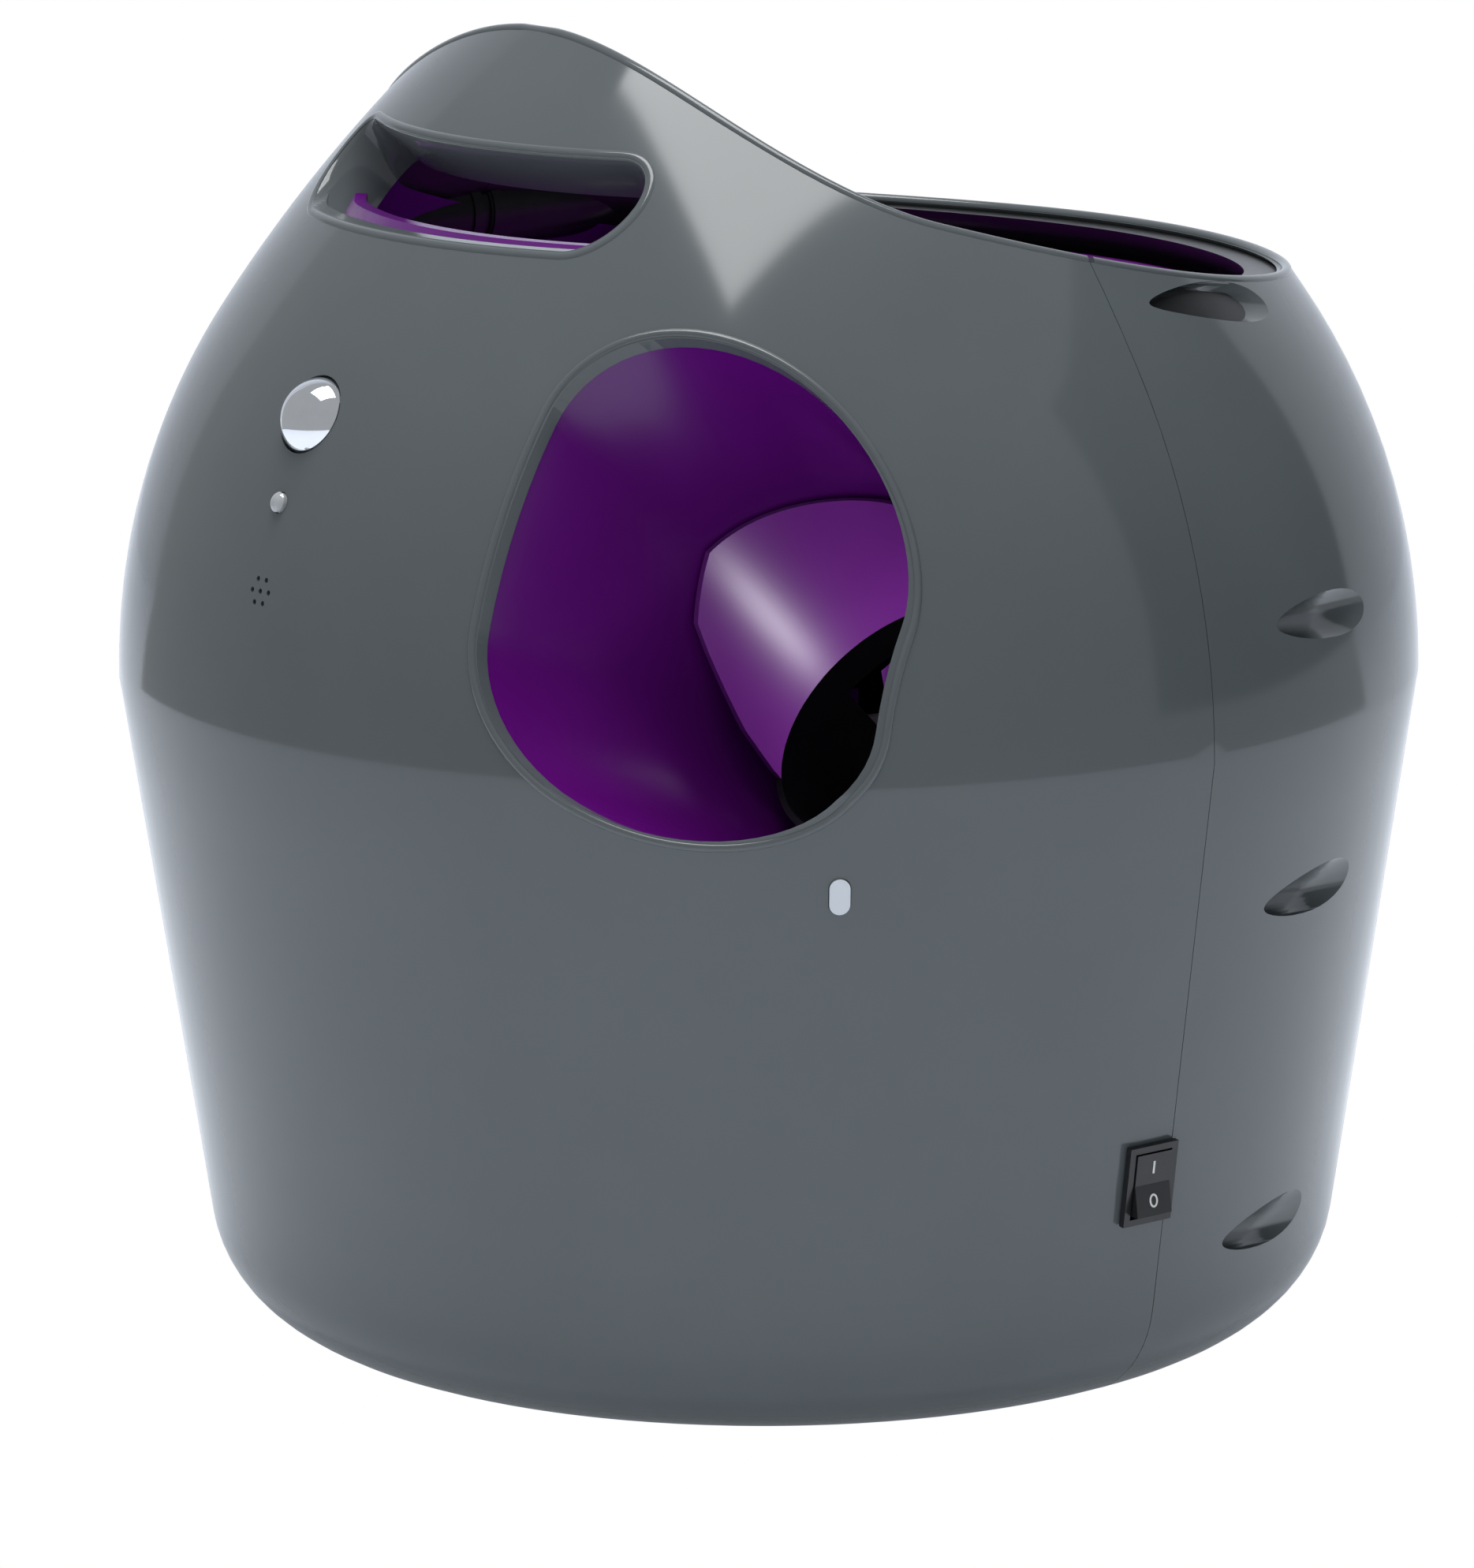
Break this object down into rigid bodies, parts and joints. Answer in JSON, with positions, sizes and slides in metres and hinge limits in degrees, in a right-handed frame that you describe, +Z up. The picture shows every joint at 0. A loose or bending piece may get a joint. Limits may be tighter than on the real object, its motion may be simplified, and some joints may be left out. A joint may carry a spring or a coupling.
{
  "type": "automatic dog ball launcher",
  "caption": "Domed tabletop ball launcher for dogs with hopper bowl, tilting spring barrel, rear dials and carry slot.",
  "frame": {"origin": "centre of the footprint on the floor, at the underside of the feet", "axes": "+Z up, -Y the launch side with the motion sensor, +X the side with the launch port and switch"},
  "size_m": [0.33, 0.33, 0.3385],
  "materials": {
    "case_grey": "glossy moulded ABS",
    "purple": "glossy moulded ABS",
    "black_plastic": "satin moulded ABS",
    "white_acetal": "natural acetal",
    "steel": "zinc plated",
    "brass": "machined",
    "rubber": "moulded",
    "pale_rubber": "translucent moulded",
    "lens": "clear moulded",
    "board_green": "solder mask",
    "cell": "printed sleeve"
  },
  "bodies": {
    "root": {"base_plate": "case_grey", "base_screws": "steel", "battery_cell_1": "cell", "battery_cell_2": "cell", "battery_cell_3": "cell", "battery_cell_4": "cell", "battery_cell_5": "cell", "battery_cell_6": "cell", "battery_contacts": "steel", "case_screws": "steel", "control_board": "board_green", "distance_switch": "black_plastic", "feed_chute": "black_plastic", "foot_1": "pale_rubber", "foot_2": "pale_rubber", "foot_3": "pale_rubber", "foot_4": "pale_rubber", "front_collar": "black_plastic", "front_shell": "case_grey", "gate_motor": "black_plastic", "hopper_bowl": "purple", "motion_lens": "lens", "port_liner": "purple", "power_inlet": "black_plastic", "rear_collar": "black_plastic", "rear_shell": "case_grey", "sensor_board": "board_green", "side_lens": "lens", "speaker": "black_plastic", "status_lens": "lens", "switch_body": "black_plastic"},
    "rocker": {"switch_rocker": "black_plastic"},
    "angle_knob": {"angle_dial": "case_grey", "angle_shaft": "white_acetal"},
    "distance_knob": {"distance_dial": "case_grey", "distance_shaft": "white_acetal"},
    "barrel": {"launch_tube": "purple", "breech_tube": "black_plastic", "tilt_sector": "white_acetal", "drive_motor": "steel", "gearbox_cover": "black_plastic", "spring_cap": "black_plastic", "main_spring": "steel"},
    "winder": {"winding_sector": "white_acetal", "winding_wheel": "white_acetal", "winding_axle": "steel"},
    "pinion": {"motor_pinion": "brass"},
    "hammer": {"striker": "white_acetal", "striker_pad": "rubber"},
    "gate": {"feed_gate": "white_acetal"},
    "door": {"battery_door": "case_grey"}
  },
  "joints": [
    {"name": "barrel_tilt", "type": "hinge", "parent": "root", "child": "barrel", "pos_m": [0.1035, -0.0357, 0.1682], "axis": [1, 0, 0], "range_deg": [0, 25]},
    {"name": "angle_turn", "type": "hinge", "parent": "root", "child": "angle_knob", "pos_m": [0.046, 0.15, 0.1682], "axis": [0, 1, 0], "range_deg": [-217, 0]},
    {"name": "distance_turn", "type": "hinge", "parent": "root", "child": "distance_knob", "pos_m": [-0.046, 0.15, 0.1682], "axis": [0, 1, 0], "range_deg": [0, 270]},
    {"name": "winder_turn", "type": "hinge", "parent": "barrel", "child": "winder", "pos_m": [0.1035, -0.01307, 0.04375], "axis": [1, 0, 0], "range_deg": [-66.8, 0]},
    {"name": "pinion_turn", "type": "hinge", "parent": "barrel", "child": "pinion", "pos_m": [0.1035, -0.03429, 0.06496], "axis": [1, 0, 0], "range_deg": [0, 334.1]},
    {"name": "hammer_slide", "type": "slide", "parent": "barrel", "child": "hammer", "axis": [0, 0.7071, -0.7071], "range_m": [0, 0.028], "deforming": ["main_spring"]},
    {"name": "gate_turn", "type": "hinge", "parent": "root", "child": "gate", "pos_m": [0.1035, 0.06, 0.216], "axis": [1, 0, 0], "range_deg": [0, 55]},
    {"name": "rocker_turn", "type": "hinge", "parent": "root", "child": "rocker", "pos_m": [0.14869, -0.00701, 0.06487], "axis": [0.0471, 0.9989, 0], "range_deg": [0, 16]},
    {"name": "door_turn", "type": "hinge", "parent": "root", "child": "door", "pos_m": [0, 0.063, 0.005], "axis": [1, 0, 0], "range_deg": [0, 85]}
  ],
  "couplings": [
    {"joint": "angle_turn", "follows": "barrel_tilt", "ratio": -8.6667},
    {"joint": "pinion_turn", "follows": "winder_turn", "ratio": -5},
    {"joint": "hammer_slide", "follows": "winder_turn", "m_per_rad": -0.024}
  ]
}
